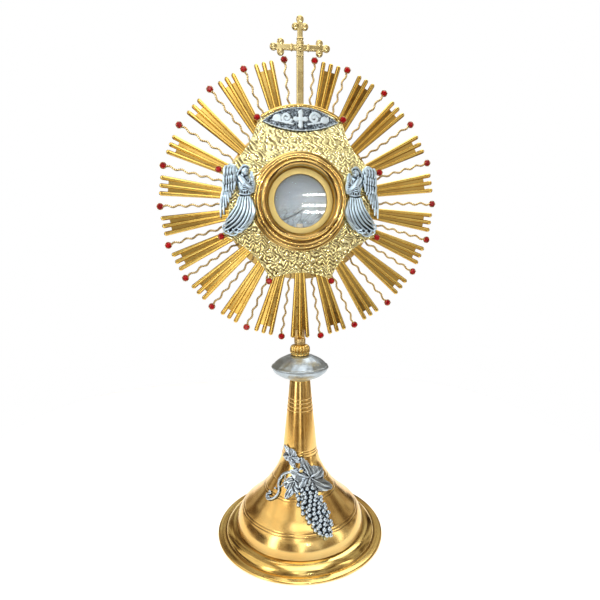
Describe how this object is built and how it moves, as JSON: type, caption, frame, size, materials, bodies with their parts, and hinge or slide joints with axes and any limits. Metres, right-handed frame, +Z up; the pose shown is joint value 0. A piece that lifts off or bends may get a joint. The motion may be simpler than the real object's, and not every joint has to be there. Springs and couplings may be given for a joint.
{
  "type": "monstrance",
  "caption": "Gilt altar monstrance: round foot, tapered stem with a silver knop, and a sunburst of fluted and wavy rays round a glazed case with a hinged rear door, under a cross.",
  "frame": {"origin": "centre of the foot's underside", "axes": "+Z up the stem to the cross, -Y out of the window towards the viewer, +X to the viewer's right"},
  "size_m": [0.3784, 0.2324, 0.7],
  "materials": {
    "polished_gold": "polished gilt",
    "pale_gold": "pale gilt, lightly worn",
    "satin_gold": "satin gilt",
    "old_silver": "oxidised silver plate",
    "bright_silver": "polished silver plate",
    "red_glass": "foiled red paste",
    "clear_glass": "polished",
    "pale_cloth": "creased thin lining"
  },
  "bodies": {
    "stand": {"foot_rim": "polished_gold", "foot_bell": "polished_gold", "stem_cone": "polished_gold", "knop_lower": "bright_silver", "knop_upper": "bright_silver", "fluted_collar": "polished_gold", "head_shank": "satin_gold", "tie_rod": "satin_gold", "tie_washer": "satin_gold", "tie_nut": "satin_gold", "ray_backing_ring": "satin_gold", "wavy_ray_ring": "pale_gold", "fluted_ray_01": "polished_gold", "fluted_ray_02": "polished_gold", "fluted_ray_03": "polished_gold", "fluted_ray_04": "polished_gold", "fluted_ray_05": "polished_gold", "fluted_ray_06": "polished_gold", "fluted_ray_07": "polished_gold", "fluted_ray_08": "polished_gold", "fluted_ray_09": "polished_gold", "fluted_ray_10": "polished_gold", "fluted_ray_11": "polished_gold", "fluted_ray_12": "polished_gold", "fluted_ray_13": "polished_gold", "fluted_ray_14": "polished_gold", "fluted_ray_15": "polished_gold", "fluted_ray_16": "polished_gold", "fluted_ray_17": "polished_gold", "fluted_ray_18": "polished_gold", "fluted_ray_19": "polished_gold", "fluted_ray_20": "polished_gold", "fluted_ray_21": "polished_gold", "cross_finial": "pale_gold", "face_plate": "pale_gold", "plaque_arch": "polished_gold", "plaque": "old_silver", "angel_left": "old_silver", "angel_right": "old_silver", "corner_stone_1": "red_glass", "corner_stone_2": "red_glass", "corner_stone_3": "red_glass", "corner_stone_4": "red_glass", "corner_stone_5": "red_glass", "corner_stone_6": "red_glass", "corner_stone_7": "red_glass", "corner_stone_8": "red_glass", "bezel_ring": "polished_gold", "window_retainer": "pale_gold", "front_glass": "clear_glass", "case_drum": "satin_gold", "luna_rail": "satin_gold", "door_hinge_pin": "satin_gold", "vine_ornament": "old_silver", "ornament_rivet": "pale_gold"},
    "door": {"door_frame": "satin_gold", "door_lining": "pale_cloth"},
    "latch": {"door_knob": "polished_gold", "latch_cam": "satin_gold"},
    "luna": {"luna_holder": "pale_gold"}
  },
  "joints": [
    {"name": "door_hinge", "type": "hinge", "parent": "stand", "child": "door", "pos_m": [0.0515, 0.0218, 0.46], "axis": [0, 0, -1], "range_deg": [0, 120]},
    {"name": "latch_turn", "type": "hinge", "parent": "door", "child": "latch", "pos_m": [-0.038, 0.0218, 0.46], "axis": [0, 1, 0], "range_deg": [0, 90]},
    {"name": "luna_slide", "type": "slide", "parent": "stand", "child": "luna", "axis": [0, 1, 0], "range_m": [-0.005, 0.0055]}
  ]
}
